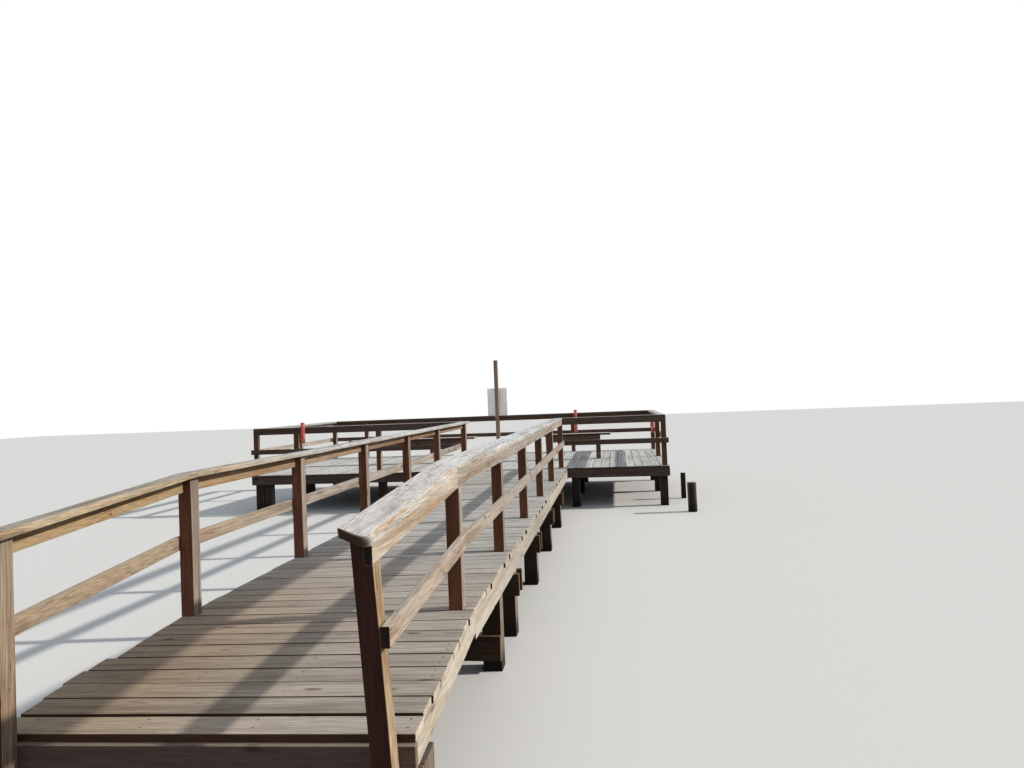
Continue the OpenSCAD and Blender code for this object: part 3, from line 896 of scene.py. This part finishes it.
for node in ("right_cap", "left_cap"):
    bm = saw(copy_solid(node), Y, joints)
    wear_edge(bm, CAP_WEAR, CAP_WEAR_STEP)
    finish_cap(node, bm)
for node, wood in (
    ("right_top_rail", "rail"), ("left_top_rail", "honey"),
    ("right_mid_rail", "rail"), ("left_mid_rail", "rail"),
):
    dress(node, woods[wood], Y, joints, amount=RAIL_WARP)
dress("ramp_top_rails", woods["honey"], Y, amount=RAIL_WARP)
dress("ramp_mid_rails", woods["rail"], Y, amount=RAIL_WARP)
bm = copy_solid("ramp_caps")
wear_edge(bm, NEAR_WEAR, NEAR_WEAR_STEP)
round_near_ends(bm, NEAR_RADII)
finish_cap("ramp_caps", bm)

# %% [markdown]
# ## Posts and the platform's railings
# The posts keep their solids' notches. The platform's front and back rails come in two lengths
# that meet over the second post.

# %% Posts and the platform's railings
PLATFORM_BAY = 1.62
FLAT_CAP_ROUND = 0.006

for node, wood in (
    ("near_posts", "near_post"), ("sign_post", "tall_post"), ("left_posts", "left_post"),
    ("right_posts", "post"), ("platform_posts", "post"),
):
    dress(node, woods[wood], Z, radius=POST_ROUND)

platform_joints = [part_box("platform_posts")[0].x + PLATFORM_BAY + POST / 2]
for kind in ("front_top_rails", "back_top_rail", "front_mid_rails", "back_mid_rail"):
    dress("platform_" + kind, woods["rail"], X, platform_joints)
for kind in ("front_caps", "back_caps"):
    dress("platform_" + kind, woods["cap"], X, platform_joints, FLAT_CAP_ROUND)
for kind in ("side_top_rails", "side_mid_rails"):
    dress("platform_" + kind, woods["rail"], Y)
dress("platform_side_caps", woods["cap"], Y, radius=FLAT_CAP_ROUND)

# %% [markdown]
# ## Edge boards and the frame below
# The pale edge board on the right and the darker rims of the platform carry the ends of the deck
# boards, so their upper edges are one board's thickness below the deck. Joists, doubled cross
# beams and square piles carry the deck. They are rougher and darker than the parts above, and the
# piles are soaked black at the foot.

# %% Edge boards and the frame below
UNDER_GAP = 0.001
PILE_ROUND, PILE_WARP, PILE_STEP = 0.008, 0.003, 0.12
FRAME_STEP = 0.8


def under_boards(node):
    """A node's solids with their upper faces lowered by a board's thickness"""
    bm = copy_solid(node)
    for v in {v for f in bm.faces if f.normal.z > 0.8 for v in f.verts}:
        v.co.z -= BOARD_T + UNDER_GAP
    return bm


fascia_joints = [y + POST / 2 for y in post_lines[1:5:2]]
for node, places in (("walk_fascia", fascia_joints), ("ramp_fascia", [])):
    dress(node, woods["fascia"], Y, places, bm=under_boards(node))
dress("front_rim", woods["rim"], X)
for node, axis in (("platform_front_rims", X), ("platform_back_rim", X), ("platform_side_rims", Y)):
    dress(node, woods["rim"], axis, bm=under_boards(node))
for node in ("ramp_joists", "walk_joists"):
    dress(node, woods["frame"], Y, step=FRAME_STEP)
for node in ("platform_joists", "walk_cross_beams", "platform_cross_beams"):
    dress(node, woods["frame"], X, step=FRAME_STEP)
for node in ("walk_piles", "platform_piles", "cut_off_piles"):
    dress(
        node, woods["pile"], Z, radius=PILE_ROUND, amount=PILE_WARP, step=PILE_STEP
    )

# %% [markdown]
# ## Benches
# Each bench is two boards on a frame of two pairs of legs with a board on edge along the front
# and the back.

# %% Benches
SEAT_GAP = 0.006
SEAT_ROUND = 0.005
BENCH_STEP = 0.5

bm = copy_solid("bench_seats")
seats = [corners(timber) for timber in loose_timbers(bm)]
bm.free()
bm = bmesh.new()
for low, high in seats:
    half = (low.y + high.y) / 2
    add_board(bm, low, Vector((high.x, half - SEAT_GAP / 2, high.z)))
    add_board(bm, Vector((low.x, half + SEAT_GAP / 2, low.z)), high)
round_edges(bm, SEAT_ROUND)
warp(bm, X)
mark_grain(bm, X)
make_piece("bench_boards", bm, woods["deck"], ["bench_seats"])
dress("bench_frames", woods["rim"], X, step=BENCH_STEP)

# %% [markdown]
# ## Sign panel and tube holders
# The panel behind the tall post is a bare sheet of dull aluminium: it is bright but blurs what it
# mirrors. The three tubes are moulded red plastic with pink patches, which are a painted highlight.
# The screws are steel that rain has stained brown. Each has soft patches of a second colour, from
# 20 mm across on the screws' steel to 170 mm on the sheet.

# %% Sign panel and tube holders
SHEET_ROUND = 0.003


def plain_finish(name, colour, second, roughness, metallic, scale):
    """A made sheet or moulding with soft patches of a second colour"""
    material = new_material(name)
    tree = material.node_tree
    place = add_node(tree, "ShaderNodeTexCoord", out="Object")
    patch = add_node(tree, "ShaderNodeTexNoise", {"Vector": place, "Scale": scale, "Detail": 4.0})
    amount = add_node(
        tree, "ShaderNodeMapRange", {0: patch, 1: 0.35, 2: 0.7}, interpolation_type="SMOOTHSTEP"
    )
    base = add_node(tree, "ShaderNodeMix", {0: amount, 6: colour, 7: second}, 2, data_type="RGBA")
    bump = add_node(tree, "ShaderNodeBump", {"Height": patch, "Strength": 0.15, "Distance": 0.002})
    shader = add_node(tree, "ShaderNodeBsdfPrincipled", {
        "Base Color": base, "Normal": bump, "Roughness": roughness, "Metallic": metallic,
    })
    add_node(tree, "ShaderNodeOutputMaterial", {"Surface": shader})
    return material


sheet_metal = plain_finish("dull_aluminium_sheet", "#d1d1d0", "#c6c5c3", 0.45, 1.0, 6.0)
# the pink patches on the tubes are a painted highlight
red_plastic = plain_finish("red_plastic_with_painted_highlight", "#d2503f", "#dd8076", 0.45, 0.0, 14.0)
stained_steel = plain_finish("stained_steel", "#6d6660", "#4a433e", 0.6, 0.4, 60.0)

bm = copy_solid("sign_panel")
round_edges(bm, SHEET_ROUND)
make_piece("sign_sheet", bm, sheet_metal, ["sign_panel"])
make_piece("red_tubes", copy_solid("tube_holders"), red_plastic, ["tube_holders"])

# %% [markdown]
# ## Deck screws
# Every board is screwed to every joist with a pair of screws. There are more than a thousand, so
# each is a low cone with only eight sides.

# %% Deck screws
SCREW_R, SCREW_H, SCREW_ASIDE, SCREW_PLAY = 0.005, 0.003, 0.035, 0.006
SCREW_Z = DECK_Z - 0.0012
JOIST_LINES = (-0.836, -0.266, 0.266, 0.963)
PLATFORM_JOISTS = 8


def add_screw(bm, place):
    """A screw head: a low cone whose foot sinks into the wood"""
    made = bmesh.ops.create_cone(
        bm, cap_ends=True, segments=8, radius1=SCREW_R, radius2=SCREW_R * 0.6, depth=SCREW_H
    )["verts"]
    bmesh.ops.translate(bm, vec=place, verts=made)
    return made


screws = bmesh.new()
for start, end, count in ((LEVEL_Y, WALK_END_Y, WALK_BOARDS), (FRONT_Y, LEVEL_Y, RAMP_BOARDS)):
    for k in range(count):
        middle = start + (k + 0.5) * (end - start) / count
        for x in JOIST_LINES:
            for side in (-SCREW_ASIDE, SCREW_ASIDE):
                jitter = rng.uniform(-SCREW_PLAY, SCREW_PLAY)
                place = Vector((MIDDLE_X + x + jitter, middle + side, SCREW_Z))
                settle(add_screw(screws, place))
joist_low, joist_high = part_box("platform_joists")
joist_pitch = (joist_high.y - joist_low.y - BOARD_T) / (PLATFORM_JOISTS - 1)
for k in range(PLATFORM_BOARDS):
    middle = plat_start + (k + 0.5) * plat_pitch
    for j in range(PLATFORM_JOISTS):
        y = joist_low.y + BOARD_T / 2 + j * joist_pitch
        for side in (-SCREW_ASIDE, SCREW_ASIDE):
            jitter = rng.uniform(-SCREW_PLAY, SCREW_PLAY)
            add_screw(screws, Vector((middle + side, y + jitter, SCREW_Z)))
make_piece("deck_screws", screws, stained_steel)

# %% [markdown]
# ## The floor
# The jetty stands on a plain pale floor. The floor looks pale to the camera but throws little
# light back, so the undersides stay dark, as they are below a real jetty.

# %% The floor
FLOOR_HALF = 60.0
floor_bm = bmesh.new()
bmesh.ops.create_grid(floor_bm, x_segments=1, y_segments=1, size=FLOOR_HALF)
floor_mesh = bpy.data.meshes.new("floor")
floor_bm.to_mesh(floor_mesh)
floor_bm.free()
floor = bpy.data.objects.new("floor", floor_mesh)
bpy.context.scene.collection.objects.link(floor)
floor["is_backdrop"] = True
floor_look = new_material("pale_floor")
tree = floor_look.node_tree
pale = add_node(tree, "ShaderNodeBsdfDiffuse", {"Color": "#ebe9e5"})
dim = add_node(tree, "ShaderNodeBsdfDiffuse", {"Color": "#828282"})
either = add_node(tree, "ShaderNodeMixShader", {0: seen_rays(tree), 1: dim, 2: pale})
add_node(tree, "ShaderNodeOutputMaterial", {"Surface": either})
floor_mesh.materials.append(floor_look)
print("floor", 2 * FLOOR_HALF, "m across")

# %% [markdown]
# ## Measure and finish
# The dressed model is meant to stay inside the solid model's box, give or take a few millimetres,
# so both boxes are printed side by side.

# %% Measure and finish
seen_low, seen_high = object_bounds()
for name, size in (("visual", seen_high - seen_low), ("cad", cad_high - cad_low)):
    print(name, "box", [round(d, 4) for d in size])
